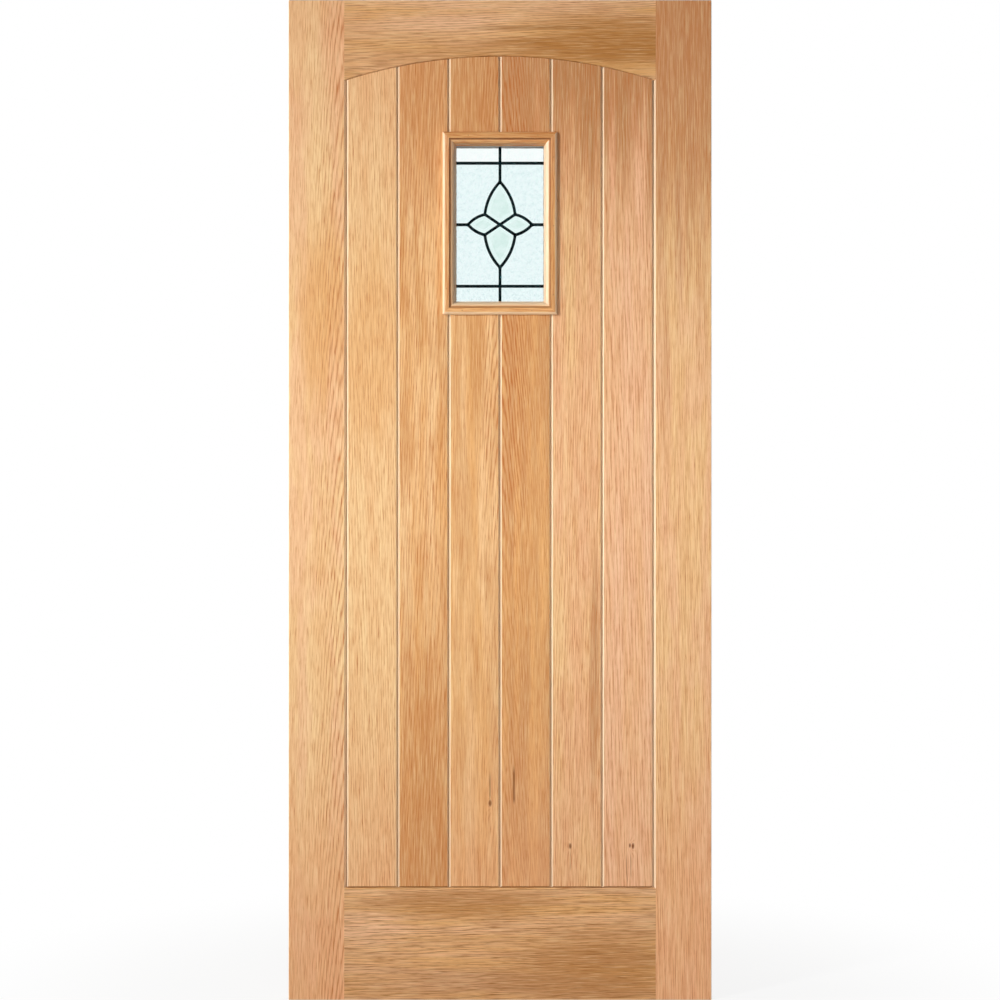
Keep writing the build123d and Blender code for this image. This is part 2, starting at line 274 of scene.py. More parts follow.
# %% Tones of the timber
# the colour of the painted highlight on chamfers and moulded curves
HIGHLIGHT_CREAM = tone(252, 236, 204)
WHEAT = tone(252, 226, 176)
STRAW = tone(250, 214, 158)
HONEY = tone(244, 200, 144)
PEACH = tone(242, 190, 142)
BLUSH = tone(246, 196, 156)
SALMON = tone(236, 180, 138)
# also the redder, darker ends of the door, which are partly painted shade
RUSSET = tone(238, 170, 122)
AMBER = tone(232, 175, 110)
TOFFEE = tone(212, 156, 100)
TAN = tone(212, 160, 116)
OCHRE = tone(186, 124, 58)
COPPER = tone(194, 114, 52)
BARK = tone(160, 102, 46)
UMBER = tone(150, 96, 50)
SORREL = tone(186, 130, 80)
CARAMEL = tone(204, 142, 80)
# the colour of painted shade in hollows, and of the dark joint line, which is partly painted shade
SHADE_SEPIA = tone(112, 60, 20)
KNOT = tone(124, 58, 6)
print("palest and darkest tone:", [round(part, 3) for part in HIGHLIGHT_CREAM + KNOT])

# %% [markdown]
# ## Oak: growth rings
#
# Oak shows its growth rings as lines of open pores. Where a board is cut well away from the heart
# of the tree the lines run straight; where it is cut near the heart they close into long arches.
# A picture of wood would show the same arches on each board. Here both come from one rule: the ring
# number at a point is its distance from the heart of the tree, plus a little for its height because
# a trunk tapers, divided by the width of a ring. A slow noise makes the tree less than perfect.
# Each part has its own heart, so no two parts look alike. A knot pushes the rings aside and is
# dark, and a check is a short dark line along the grain.

# %% Rings, knots and checks
RING_PITCH = 4.5             # millimetres of trunk to a ring
SWAY_SIZE = (70.0, 420.0)    # sizes of a noise: millimetres across the grain and along it
WANDER_SIZE = (9.0, 110.0)
BEND_SIZE = (20.0, 60.0)
LINE_POWER = 2.5             # the higher it is, the thinner is the dark line of a ring
KNOT_SQUEEZE = 0.45          # a knot is longer along the grain
KNOT_PUSH = 5.0              # how far it moves the rings, in sizes of the knot
KNOT_EDGE = (0.35, 1.1)
CHECK_BEND = 3.0
CHECK_DARKNESS = 0.25        # for each millimetre of its width
CHECK_CORE = 0.2             # the share of its width that is darkest
CHECK_FOOT, CHECK_TIP = 15.0, 25.0
FADE_FROM, FADED = 0.4, 0.75      # the share of their reach where rings start to fade, and how much
LOW_RINGS = 0.35             # the share of them that shows below their rise


def knots_and_checks(paint, radius, knots, checks, seed):
    """The rings as knots push them aside, and the stain of the knots and the checks."""
    x, z = paint.x, paint.z
    stain = 0
    for knot_x, knot_z, knot_size in knots:
        away = ((x - knot_x) ** 2 + ((z - knot_z) * KNOT_SQUEEZE) ** 2) ** 0.5 / knot_size
        radius = radius + KNOT_PUSH * knot_size / (1 + away ** 2)
        stain = stain + (1 - away.ramp(*KNOT_EDGE))
    for check_x, low_z, high_z, width in checks:
        bend = CHECK_BEND * (paint.noise(*BEND_SIZE, seed + 9) - 0.5)
        side = 1 - abs(x - check_x + bend).ramp(CHECK_CORE * width, width)
        foot = z.ramp(low_z, low_z + CHECK_FOOT)
        tip = 1 - z.ramp(high_z - CHECK_TIP, high_z)
        stain = stain + CHECK_DARKNESS * width * side * foot * tip
    return radius, stain


def ring_lines(paint, heart, taper, sway, pitch, wander, knots, checks, seed):
    """The dark early wood of each ring, 0 to 1, and the stain of knots and checks."""
    x, y, z = paint.x, paint.y, paint.z
    radius = ((x - heart[0]) ** 2 + (y - heart[1]) ** 2) ** 0.5 + taper * z
    radius = radius + sway * 2 * (paint.noise(*SWAY_SIZE, seed) - 0.5)
    radius, stain = knots_and_checks(paint, radius, knots, checks, seed)
    age = radius / pitch + wander * paint.noise(*WANDER_SIZE, seed + 1)
    return age.wave() ** LINE_POWER, stain


def ring_strength(paint, heart, rings, reach, rise):
    """How much the rings show: less far from the heart, and less below a given height."""
    figure = rings
    if reach:
        figure = figure * (1 - FADED * abs(paint.x - heart[0]).ramp(FADE_FROM * reach, reach))
    if rise:
        figure = figure * (LOW_RINGS + (1 - LOW_RINGS) * paint.z.ramp(*rise))
    return figure


print("rings:", RING_PITCH, "mm apart")

# %% [markdown]
# ## Oak: body and edges
#
# Between its lines the wood drifts slowly between two or three tones, and here and there a patch is
# darker or paler; the dark patches at the top of the door are painted shade. A length also grows
# redder and darker towards the foot and the top of the door, partly as painted shade. On a chamfer
# or a moulded curve the wood is painted paler, a painted highlight, stronger on the side that faces
# left towards the lamps than on the other. The bottom of each open joint is dark, partly as painted
# shade, the hollow beside a moulding's step gets painted shade, and end grain is dark. The
# direction that a surface faces tells chamfers, curves and ends apart, so no edge has to be marked
# by hand.

# %% Body, painted highlights and painted shade
BAND_SIZE, BAND_TURN = (22.0, 500.0), (0.34, 0.66)      # stripes, and where their noise turns over
DRIFT_SIZE, DRIFT_TURN, DRIFT_SHARE = (40.0, 220.0), (0.45, 0.62), 0.5
FOOT, TOP = (60.0, 700.0), (1450.0, 1950.0)             # heights over which the wood is painted redder and darker, partly painted shade at the ends
PATCH_EDGE, PATCH_WAVER = (0.4, 1.2), 1.6
CHAMFER = (0.8, 0.98)        # twice the product of two parts of the direction: 1 at 45 degrees
FLAT_ON = (0.9, 0.99)
TO_THE_RIGHT, RIGHT_LOSS = (0.0, 0.2), 0.45    # the side facing away from the lamps, where the painted highlight is weaker, and by how much
JOINT_LINE, JOINT_DARK = 1.3, 0.8              # millimetres over which a joint darkens, and how much; partly painted shade
HOLLOW, HOLLOW_EDGE = 0.1, 0.5                 # how far the painted shade in a hollow is full, and where it ends
# strength of the painted shade in a moulding's hollow, and of the dark end grain on end slopes
HOLLOW_SHADE = END_SLOPE_DARK = 0.6
END_GRAIN, END_GRAIN_DARK = (0.75, 0.97), 0.38


def body_of_wood(paint, tones, warm, patches, seed):
    """The colour of the wood between its lines."""
    x, z = paint.x, paint.z
    band = paint.noise(*BAND_SIZE, seed + 5, detail=3.0)
    drift = paint.noise(*DRIFT_SIZE, seed + 6)
    body = paint.mix(band.ramp(*BAND_TURN), tones[0], tones[1])
    body = paint.mix(DRIFT_SHARE * drift.ramp(*DRIFT_TURN), body, tones[-1])
    if not paint.lying:
        # redder and darker towards the foot and the top: partly painted shade where the light falls
        # off
        foot, top = 1 - z.ramp(*FOOT), z.ramp(*TOP)
        body = paint.mix(warm[0] * foot + warm[1] * top, body, RUSSET)
    # patches: changes of tone, and at the top of the door painted shade
    for shade, (patch_x, patch_z), (half_x, half_z), strength in patches:
        away = (((x - patch_x) / half_x) ** 2 + ((z - patch_z) / half_z) ** 2) ** 0.5
        edge = (away + PATCH_WAVER * (band - 0.5)).ramp(*PATCH_EDGE)
        body = paint.mix(strength * (1 - edge), body, shade)
    return body


def edges_painted_light_and_end_grain(paint, colour, planed, joint, fillet):
    """Painted highlight on chamfers and rounds, painted shade in hollows and partly in joints, dark
    end grain.
    """
    facing = paint.facing()
    across, out, along = [abs(part) for part in facing]
    if paint.lying:
        across, along = along, across
    level = abs(paint.y)
    if fillet:
        # on a moulding: a painted highlight on the curves, and painted shade in the hollow beside
        # the step
        flat = out.ramp(*FLAT_ON)
        colour = paint.mix(planed * (1 - flat), colour, HIGHLIGHT_CREAM)
        low_side = level.ramp(fillet - HOLLOW_EDGE, fillet - HOLLOW)
        hollow_shade = low_side * (1 - level.ramp(fillet + HOLLOW, fillet + HOLLOW_EDGE))
        colour = paint.mix(HOLLOW_SHADE * hollow_shade * flat, colour, SHADE_SEPIA)
    else:
        # painted highlight on chamfers, weaker on the side that faces right, away from the lamps on
        # the left
        slope = (2 * across * out).ramp(*CHAMFER)
        right = facing[0].ramp(*TO_THE_RIGHT)
        colour = paint.mix(planed * slope * (1 - RIGHT_LOSS * right), colour, HIGHLIGHT_CREAM)
        # dark line at the bottom of a joint: partly the joint's own dark gap, partly painted shade
        # in the V
        deep = 1 - level.ramp(joint, joint + JOINT_LINE)
        colour = paint.mix(JOINT_DARK * slope * deep, colour, SHADE_SEPIA)
        end_slope = (2 * along * out).ramp(*CHAMFER)
        colour = paint.mix(END_SLOPE_DARK * end_slope, colour, UMBER)
    return paint.mix(END_GRAIN_DARK * along.ramp(*END_GRAIN), colour, UMBER)


print("the wood reddens below", FOOT[1], "and above", TOP[0], "mm")

# %% [markdown]
# ## Oak: a whole length
#
# The finest marks come last: fibres, some darker and some paler than the body, short dark pores,
# and breaks that part the lines of the rings. A little relief follows the same marks, so that the
# grain catches the light, and the clear finish is duller where the wood is open.

# %% How a length of oak is painted
DASH_SIZE, DASH_TURN = (1.8, 28.0), (0.36, 0.62)
BROKEN_LINE = 0.45                             # what is left of a ring's line in a break
FIBRE_SIZE = (1.15, 60.0)
PORE_SIZE, PORE_TURN, PORE_SHARE = (1.0, 20.0), (0.52, 0.74), 0.4
LINE_EVERYWHERE = 0.06                         # the share of the line tone in plain wood
PALE_FIBRES, PALE_FROM = -2.6, 0.08
STAIN_SHARE = 0.9
SHEEN = 0.36                                   # roughness of the clear finish on close wood
DULL_GRAIN, DULL_STAIN = 0.2, 0.5              # what lines and knots add to it
GRAIN_DEPTH, GRAIN_STRENGTH = 0.00022, 0.35    # metres, and the strength of the bumps
PORE_DEPTH, RING_DEPTH = 0.5, 0.4              # how deep they are beside the fibres


def oak(
    name, box, tones, heart, seed, taper=0.03, sway=6.0, rings=0.6, reach=None, rise=None,
    fibres=2.6, wander=0.8, pitch=RING_PITCH, line=COPPER, lying=False, warm=(0.55, 0.7),
    planed=0.6, joint=18.5, fillet=None, patches=(), knots=(), checks=(), **finish,
):
    """Oak cut from a tree whose heart is at (x, y) millimetres from the middle of the part."""
    low, high = box
    middle = (low + high) / 2
    centre = (0, 0, middle.z) if lying else (middle.x, 0, 0)
    paint = Paint(name, centre, lying, **finish)

    early, stain = ring_lines(paint, heart, taper, sway, pitch, wander, knots, checks, seed)
    figure = ring_strength(paint, heart, rings, reach, rise)
    dash = paint.noise(*DASH_SIZE, seed + 8).ramp(*DASH_TURN)
    fibre = paint.noise(*FIBRE_SIZE, seed + 3, detail=3.0, roughness=0.6) - 0.5
    pore = paint.noise(*PORE_SIZE, seed + 4, detail=1.0).ramp(*PORE_TURN)
    lines = figure * early * (BROKEN_LINE + (1 - BROKEN_LINE) * dash)
    grain = LINE_EVERYWHERE + lines + fibres * fibre + PORE_SHARE * pore

    colour = body_of_wood(paint, tones, warm, patches, seed)
    colour = paint.mix(grain, colour, line)
    colour = paint.mix(PALE_FIBRES * fibre - PALE_FROM, colour, WHEAT)
    colour = edges_painted_light_and_end_grain(paint, colour, planed, joint, fillet)
    roughness = SHEEN + DULL_GRAIN * grain
    if knots or checks:
        colour = paint.mix(stain * (STAIN_SHARE + fibre), colour, KNOT)
        roughness = roughness + DULL_STAIN * stain
    paint.set("Base Color", colour)
    paint.set("Roughness", roughness)
    height = 0.5 + fibre - PORE_DEPTH * pore - RING_DEPTH * early
    paint.relief(height, GRAIN_DEPTH, GRAIN_STRENGTH)
    return paint


print("relief of the grain:", GRAIN_DEPTH * 1000, "mm")

# %% [markdown]
# ## The framing
#
# Two stiles run the full height, with the rails between them, so the grain of the stiles is upright
# and that of the rails is level. The top rail is a lively piece with a dark flame in its right
# half; the bottom rail is coarse and mottled. The shapes are in the frame already, so each length
# only gets its own cut of oak. Patches give the places where a length changes tone, and the large
# dark one at the top of the lock stile is painted shade.

# %% Stiles and rails
box_of = {name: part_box(name) for name in nodes}
framing = {
    "hinge_stile": dict(
        tones=(STRAW, HONEY, BLUSH), heart=(70, 30), seed=11, rings=0.75, reach=90.0, taper=0.07,
        warm=(0.65, 0.45), joint=17.5,
        patches=[(AMBER, (10, 1350), (60, 240), 0.8), (STRAW, (0, 1700), (26, 240), 0.6)],
    ),
    "lock_stile": dict(
        tones=(PEACH, HONEY, BLUSH), heart=(-260, 40), seed=23, rings=0.35, warm=(0.6, 1.0),
        joint=17.5,
        # painted shade: a large dark patch where the door darkens towards its top
        patches=[(SORREL, (0, 2000), (300, 740), 0.66)],
    ),
    "top_rail": dict(
        tones=(PEACH, AMBER, SALMON), heart=(-60, 45), seed=37, lying=True, taper=0.02, sway=14.0,
        rings=0.5, fibres=1.6, planed=0.0, joint=19.5, line=BARK,
        patches=[
            (OCHRE, (-30, -60), (40, 330), 0.55), (OCHRE, (-6, -225), (64, 215), 0.95),
            (TOFFEE, (0, 290), (70, 200), 0.5), (BARK, (25, -80), (6, 160), 0.6),
            (BLUSH, (36, 150), (16, 150), 0.5),
        ],
    ),
    "bottom_rail": dict(
        tones=(PEACH, AMBER, TAN), heart=(-190, 70), seed=41, lying=True, pitch=5.5, fibres=2.8,
        wander=2.4, rings=0.6, planed=0.0, joint=19.5, line=BARK,
        patches=[
            (OCHRE, (76, 60), (34, 220), 0.7), (OCHRE, (-50, -200), (90, 230), 0.75),
            (SORREL, (-85, 90), (60, 400), 0.28), (BLUSH, (30, 260), (40, 90), 0.5),
        ],
    ),
}
for name, cut in framing.items():
    paint_part(nodes[name], oak(name + "_oak", box_of[name], **cut))
print("framing:", len(framing), "lengths")

# %% [markdown]
# ## The boards
#
# Six boards make each face. A board above and below the window is one length of oak, so both
# pieces share one cut. The two middle boards come from the same plank: their arches meet in the
# joint. Small knots and dark lines in four of the boards show where twigs once grew. The boards at
# the back come from the same trees with their hearts on the other side, and noise of their own.

# %% Boards
board_cuts = {
    "1": dict(
        tones=(STRAW, HONEY), heart=(-170, 60), rings=0.4, warm=(0.6, 0.4),
        patches=[(AMBER, (0, 1290), (70, 220), 0.6)],
    ),
    "2": dict(
        tones=(HONEY, AMBER, CARAMEL), heart=(90, 60), rings=0.55, taper=0.05,
        # the second patch is painted shade at the top of the door
        patches=[(CARAMEL, (0, 250), (90, 520), 0.7), (CARAMEL, (0, 1850), (90, 260), 0.6)],
    ),
    "3": dict(
        tones=(HONEY, AMBER, TOFFEE), heart=(54, 4), taper=0.07, rings=0.9, reach=60.0,
        rise=(700, 1250),
        # the first patch is painted shade at the top of the door
        patches=[(CARAMEL, (0, 1850), (90, 220), 0.7), (CARAMEL, (0, 1300), (20, 200), 0.6)],
        knots=[(28, 390, 3.8)], checks=[(28, 392, 455, 2.6)],
    ),
    "4": dict(
        tones=(AMBER, TOFFEE), heart=(-54, 4), taper=0.08, rings=1.5, reach=75.0,
        rise=(800, 1250), wander=1.3,
        # the patch is painted shade at the top of the door
        patches=[(SORREL, (0, 1990), (300, 400), 0.7)], checks=[(-23, 385, 470, 3.4)],
    ),
    "5": dict(
        tones=(PEACH, HONEY, SALMON), heart=(200, 70), rings=0.45, warm=(0.3, 0.9),
        # the first patch is painted shade at the top of the door
        patches=[(SORREL, (0, 1990), (300, 420), 0.9), (SORREL, (38, 640), (12, 260), 0.6)],
        knots=[(-10, 305, 3.2)], checks=[(-10, 250, 310, 1.6), (40, 600, 800, 1.2)],
    ),
    "6": dict(
        tones=(PEACH, BLUSH), heart=(-80, 60), rings=0.4, warm=(0.3, 0.9),
        # the patch is painted shade at the top of the door
        patches=[(SORREL, (0, 1990), (300, 400), 0.85)],
        knots=[(7, 306, 2.4), (13, 305, 3.2)], checks=[(1, 225, 296, 1.6), (9, 235, 300, 1.6)],
    ),
}
FIRST_SEED, SEED_GAP = {"front": 50, "back": 150}, 11

boards = [name for name in nodes if "_board_" in name]
for name in boards:
    face, _, number = name.split("_")[:3]
    cut = dict(board_cuts[number], seed=FIRST_SEED[face] + SEED_GAP * int(number))
    if face == "back":
        cut["heart"] = (cut["heart"][0], -cut["heart"][1])
    paint_part(nodes[name], oak(name + "_oak", box_of[name], **cut))
print("boards:", len(boards), "pieces")

# %% [markdown]
# ## Modelling a small piece
#
# The window's mouldings and lead are rounder than the plain solids in the frame, so new meshes take
# their place. Each is made in a bmesh, Blender's own workbench for meshes, and then becomes one
# object that stays at the origin. The helper turns all faces outwards, shades the rounds smooth,
# keeps the arrises sharp and counts the edges that don't join exactly two faces. A closed solid has
# none.

# %% From bmesh to finished piece
ARRIS = math.radians(35)     # faces that meet at more than this keep a sharp edge
MM = 0.001
SAME_PLACE = 0.0005          # millimetres within which two corners are one


def finished(name, shape, paint, stands_for=()):
    """Makes one piece of a bmesh in millimetres and gives it its finish."""
    bmesh.ops.remove_doubles(shape, verts=shape.verts, dist=SAME_PLACE)
    bmesh.ops.recalc_face_normals(shape, faces=shape.faces)
    bmesh.ops.scale(shape, vec=(MM, MM, MM), verts=shape.verts)
    for side in shape.faces:
        side.smooth = True
    open_edges = sum(1 for edge in shape.edges if not edge.is_manifold)
    mesh = bpy.data.meshes.new(name)
    shape.to_mesh(mesh)
    shape.free()
    mesh.set_sharp_from_angle(angle=ARRIS)
    made = bpy.data.objects.new(name, mesh)
    bpy.context.scene.collection.objects.link(made)
    paint_part(made, paint)
    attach(made, "root")
    for node in stands_for:
        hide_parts(node)
    print(name, "faces:", len(mesh.polygons), "open edges:", open_edges)


def closed_outline(shape, points):
    """A ring of edges through a few points of a section."""
    corners = [shape.verts.new(point) for point in points]
    for first, second in zip(corners, corners[1:] + corners[:1]):
        shape.edges.new((first, second))
    return corners


def rounded(shape, corner, size, segments):
    """Rounds one corner of an outline."""
    bmesh.ops.bevel(
        shape, geom=[corner], offset=size, offset_type="OFFSET", segments=segments, profile=0.5,
        affect="VERTICES", material=-1, clamp_overlap=False,
    )


def pushed(shape, way):
    """Pushes an outline along a line, which leaves a tube without ends."""
    made = bmesh.ops.extrude_edge_only(shape, edges=shape.edges[:])["geom"]
    far_end = [found for found in made if isinstance(found, bmesh.types.BMVert)]
    bmesh.ops.translate(shape, verts=far_end, vec=way)


def cap_ends(shape):
    """Closes each hole of a shape with one face."""
    rim = [edge for edge in shape.edges if edge.is_boundary]
    bmesh.ops.holes_fill(shape, edges=rim, sides=0)


print("an edge stays sharp from", round(math.degrees(ARRIS)), "degrees")

# %% [markdown]
# ## The glazing mouldings
#
# A picture-frame of moulding on each face holds the glass. Its section has a rounded nose, a flat,
# a step down and a quarter-round that falls to the glass. A joiner runs this section on a long
# length and cuts four pieces with mitres. It is made the same way here: an outline of nine points,
# two of them rounded, is pushed along one side of the window, two slanted planes cut the mitres,
# and the length is turned to its side. A point of the section gives its distance from the glass in
# sight and its height over the face of the leaf, in millimetres.

# %% The section of the moulding
WINDOW_MIDDLE = 1538.5       # height of the middle of the window
SIGHT_WIDTH, SIGHT_HEIGHT = 521 / 3, 308.0
LEAF_FACE = 22.0             # from the middle of the leaf's thickness to its face
MOULDING_WIDTH, MOULDING_RISE = 27.0, 9.0
SECTION = [
    (0, -8.5), (3, -4.2), (3, 5.8), (14, 5.8), (14, 8.95),
    (27, 8.95), (27, 0), (15.5, 0), (15.5, -8.5),
]
OVOLO, OVOLO_RADIUS, OVOLO_STEPS = 2, 9.9, 10    # which corner is rounded, its radius, its steps
NOSE, NOSE_RADIUS, NOSE_STEPS = 5, 6.5, 8
STEP_LEVEL = LEAF_FACE + 5.8  # the bottom of the step beside the ovolo
CUT_SLACK = 0.0001            # corners this near to a cut lie on it
SIDES = {                     # length, distance from the middle, turn in degrees
    "head": (SIGHT_WIDTH, SIGHT_HEIGHT / 2, 0),
    "right": (SIGHT_HEIGHT, SIGHT_WIDTH / 2, 90),
    "sill": (SIGHT_WIDTH, SIGHT_HEIGHT / 2, 180),
    "left": (SIGHT_HEIGHT, SIGHT_WIDTH / 2, 270),
}


def to_side(shape, verts, turn, face):
    """Turns what was made for the head to another side, and moves it to the window and the face."""
    around = Matrix.Rotation(math.radians(turn), 3, "Y")
    bmesh.ops.rotate(shape, verts=verts, cent=(0, 0, 0), matrix=around)
    bmesh.ops.translate(shape, verts=verts, vec=(0, 0, WINDOW_MIDDLE))
    if face == "back":
        bmesh.ops.scale(shape, verts=verts, vec=(1, -1, 1))


def moulding(side, face):
    """One mitred length of moulding."""
    length, distance, turn = SIDES[side]
    half = length / 2 + MOULDING_WIDTH
    shape = bmesh.new()
    outline = [(-half, -LEAF_FACE - out, distance + across) for across, out in SECTION]
    corners = closed_outline(shape, outline)
    rounded(shape, corners[OVOLO], OVOLO_RADIUS, OVOLO_STEPS)
    rounded(shape, corners[NOSE], NOSE_RADIUS, NOSE_STEPS)
    pushed(shape, (2 * half, 0, 0))
    cap_ends(shape)
    for end in (-1, 1):
        whole = shape.verts[:] + shape.edges[:] + shape.faces[:]
        bmesh.ops.bisect_plane(
            shape, geom=whole, dist=CUT_SLACK, plane_co=(end * length / 2, 0, distance),
            plane_no=(end, 0, -1), clear_outer=True,
        )
        cap_ends(shape)
    to_side(shape, shape.verts, turn, face)
    return shape


print("sides of the window:", list(SIDES))

# %% [markdown]
# ## The oak of the mouldings
#
# A small moulding is cut from a straight, close piece, so its rings are fine and lie near together.
# A clear coat over the oak gives the rounds their thin bright lines. The four lengths differ a
# little in tone, and in the strength of the painted highlight on their curves, which follows how
# each side faces the lamps.

# %% Eight lengths of moulding
moulding_cuts = {
    # how strong the painted highlight on the curves is, set for how each side faces the lamps
    "head": dict(tones=(CARAMEL, AMBER), planed=0.0),
    "right": dict(tones=(AMBER, TOFFEE), planed=0.5),
    "sill": dict(tones=(HONEY, AMBER), planed=0.45),
    "left": dict(tones=(AMBER, TOFFEE), planed=0.35),
}
MOULDING_SEED, MOULDING_SEED_GAP = 200, 5

for face in ("front", "back"):
    for number, side in enumerate(SIDES):
        node = f"{face}_{side}_moulding"
        paint = oak(
            node + "_oak", box_of[node], heart=(35, 40),
            seed=MOULDING_SEED + MOULDING_SEED_GAP * number, pitch=2.4, rings=0.5, fibres=3.2,
            fillet=STEP_LEVEL, lying=side in ("head", "sill"), coat_weight=0.4,
            coat_roughness=0.22, **moulding_cuts[side],
        )
        finished(node + "_run", moulding(side, face), paint, [node])

# %% [markdown]
# ## Stopped pin holes
#
# The mouldings are pinned through their flats, and the pins are punched below the surface. The
# holes are stopped with filler, sanded almost flush, which stays a little darker and duller than
# the wood: small round plugs, drawn as short cones that narrow a little on their way in. The pins
# of the two faces are staggered, so that they don't meet in the wood.

# %% Filler plugs
PIN_COUNTS = {"head": 2, "right": 3, "sill": 2, "left": 3}
PIN_END_INSET, PIN_INSET, PIN_STAGGER = 45.0, 8.0, 12.0
PLUG_RADIUS, PLUG_DEPTH, PLUG_TAPER, PLUG_SIDES = 1.2, 2.0, 0.8, 16
UPRIGHT = Matrix.Rotation(math.pi / 2, 3, "X")   # stands up what was made lying on the ground
GRIT_SIZE = (0.6, 0.6)
SOFT_TURN = (0.3, 0.7)       # where a mottle turns softly from one tone to the other


def filler_plugs(face):
    """All the plugs of one face of the door."""
    shape = bmesh.new()
    shift = PIN_STAGGER / 2 if face == "front" else -PIN_STAGGER / 2
    out = LEAF_FACE + MOULDING_RISE - PLUG_DEPTH / 2
    for side, (length, distance, turn) in SIDES.items():
        count = PIN_COUNTS[side]
        span = length + 2 * MOULDING_WIDTH - 2 * PIN_END_INSET
        for number in range(count):
            along = shift + span * (number / (count - 1) - 0.5)
            plug = bmesh.ops.create_cone(
                shape, cap_ends=True, segments=PLUG_SIDES, radius1=PLUG_TAPER * PLUG_RADIUS,
                radius2=PLUG_RADIUS, depth=PLUG_DEPTH, matrix=UPRIGHT.to_4x4(),
            )["verts"]
            place = (along, -out, distance + MOULDING_WIDTH - PIN_INSET)
            bmesh.ops.translate(shape, verts=plug, vec=place)
            to_side(shape, plug, turn, face)
    return shape


filler = Paint("pin_filler", roughness=0.7)
grit = filler.noise(*GRIT_SIZE, 4, detail=3.0)
filler.set("Base Color", filler.mix(grit.ramp(*SOFT_TURN), tone(196, 146, 94), tone(172, 122, 74)))
filler.relief(grit, 0.0001)
for face in ("front", "back"):
    finished(face + "_pin_filler", filler_plugs(face), filler)

# %% [markdown]
# ## The leaded light: lead
#
# Strips of lead with an H-shaped section, called cames, hold the pieces of glass at their edges.
# They are bent round the petals of the star, meet at points that are soldered, and a wider came
# runs round the border. Each straight came is an H outline with rounded shoulders pushed along its
# line. Each curved one is the same outline spun about the middle of its arc, so it is a true arc.
# Flat domes of solder cover the meetings on both faces.
#
# The lines come first. They are measured in millimetres from the middle of the panel, and a bulge
# says how far the middle of a curved came lies from the straight line between its ends.

# %% Lines of the leading
PANEL_HALF_WIDTH, PANEL_HALF_HEIGHT, BORDER_WIDTH = 575 / 6, 163.0, 8.0
STAR_HEIGHT, STAR_REACH, BAND_HEIGHT = 85.0, 63.5, 122.5
PETAL_X, PETAL_Z = 30.0, 20.3
TALL_BULGE, SIDE_BULGE = 6.0, 3.2

straight_cames = []
curved_cames = []
for up in (-1, 1):
    straight_cames += [
        ((-PANEL_HALF_WIDTH, up * BAND_HEIGHT), (PANEL_HALF_WIDTH, up * BAND_HEIGHT)),
        ((0, up * STAR_HEIGHT), (0, up * PANEL_HALF_HEIGHT)),
        ((-PETAL_X, up * PETAL_Z), (PETAL_X, -up * PETAL_Z)),
        ((up * STAR_REACH, 0), (up * PANEL_HALF_WIDTH, 0)),
    ]
    for side in (-1, 1):
        point = (side * PETAL_X, up * PETAL_Z)
        curved_cames.append(((0, up * STAR_HEIGHT), point, side * up * TALL_BULGE))
        curved_cames.append((point, (side * STAR_REACH, 0), side * up * SIDE_BULGE))
meetings = [(0, 0)]
for way in (-1, 1):
    meetings += [(0, way * STAR_HEIGHT), (way * STAR_REACH, 0), (0, way * BAND_HEIGHT)]
    meetings += [(PETAL_X, way * PETAL_Z), (-PETAL_X, way * PETAL_Z)]
print("cames:", len(straight_cames) + len(curved_cames), "soldered meetings:", len(meetings))

# %% [markdown]
# ## The leaded light: cames
#
# A lead strip is soft, and its edges are dressed down over the glass, so the shoulders of the H are
# rounded. An outline that is pushed or spun keeps its section all along the line, which a tube of
# plain rings round a path would not.

# %% Cames
CAME_HALF, FLANGE = 2.9, 0.8              # half the width of a came, and its thickness at the edge
CHANNEL_HALF, HEART_HALF = 1.6, 0.6       # half the slot for the glass, and half the web between
CAME_DEPTH = CHANNEL_HALF + FLANGE
SHOULDER, SHOULDER_STEPS, FLANGE_TIPS = 0.5, 3, (0, 5, 6, 11)
ARC_STEPS = 16


def came_outline(shape, at, along):
    """The H section at a point of the panel, square to the direction of the came."""
    shoulders = [(CAME_HALF, CAME_DEPTH), (CAME_HALF, CHANNEL_HALF)]
    waist = [(HEART_HALF, CHANNEL_HALF), (HEART_HALF, -CHANNEL_HALF)]
    half = shoulders + waist + [(CAME_HALF, -CHANNEL_HALF), (CAME_HALF, -CAME_DEPTH)]
    outline = half + [(-across, out) for across, out in reversed(half)]
    side = Vector((along.z, 0, -along.x))
    points = [at + across * side + Vector((0, out, 0)) for across, out in outline]
    corners = closed_outline(shape, points)
    for tip in FLANGE_TIPS:
        rounded(shape, corners[tip], SHOULDER, SHOULDER_STEPS)


def came_tube(start, end, bulge=0.0):
    """One came between two points of the panel. A bulge bends it into an arc."""
    shape = bmesh.new()
    start, end = (Vector((x, 0, z)) for x, z in (start, end))
    chord = end - start
    if not bulge:
        came_outline(shape, start, chord.normalized())
        pushed(shape, chord)
    else:
        half, rise, way = chord.length / 2, abs(bulge), math.copysign(1, bulge)
        radius = (half ** 2 + rise ** 2) / (2 * rise)
        turn = 2 * math.asin(half / radius) * way
        outwards = Vector((-chord.z, 0, chord.x)).normalized() * way
        middle = (start + end) / 2 - outwards * (radius - rise)
        tangent = Matrix.Rotation(-turn / 2, 3, "Y") @ chord.normalized()
        came_outline(shape, start, tangent)
        bmesh.ops.spin(
            shape, geom=shape.verts[:] + shape.edges[:], cent=middle, axis=(0, 1, 0),
            dvec=(0, 0, 0), angle=turn, steps=ARC_STEPS, use_merge=False, use_normal_flip=False,
            use_duplicate=False,
        )
    cap_ends(shape)
    return shape


print("came:", 2 * CAME_HALF, "mm wide and", round(2 * CAME_DEPTH, 1), "mm deep")

